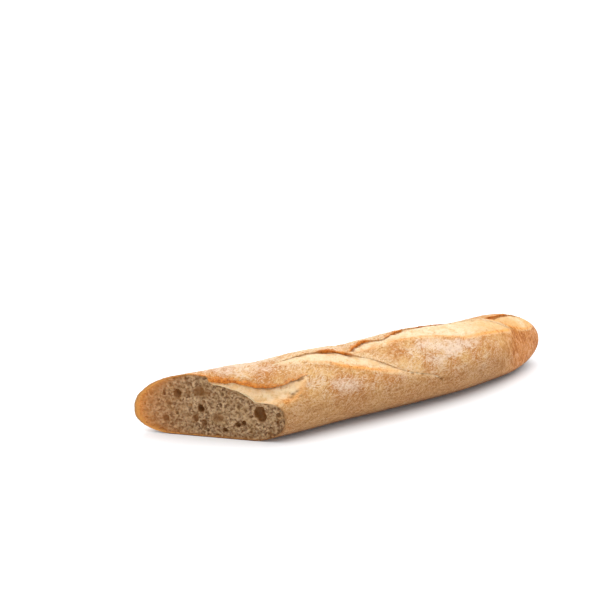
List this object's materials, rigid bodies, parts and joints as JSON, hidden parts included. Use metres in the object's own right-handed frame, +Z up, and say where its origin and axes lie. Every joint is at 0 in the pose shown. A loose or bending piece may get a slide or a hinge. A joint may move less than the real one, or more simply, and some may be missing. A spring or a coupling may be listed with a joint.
{
  "type": "baguette",
  "caption": "Long crusty loaf with slanting slashes burst open into ears, round at one end and cut on the slant at the other, showing open crumb.",
  "frame": {"origin": "centre of the part's box, on the table that the loaf lies on", "axes": "+X along the loaf to its round end, +Y to the far side, away from the low lips of the slashes, +Z up"},
  "size_m": [0.3452, 0.0818, 0.0527],
  "materials": {
    "bread": null
  },
  "bodies": {
    "root": {"baguette": "bread"}
  },
  "joints": []
}
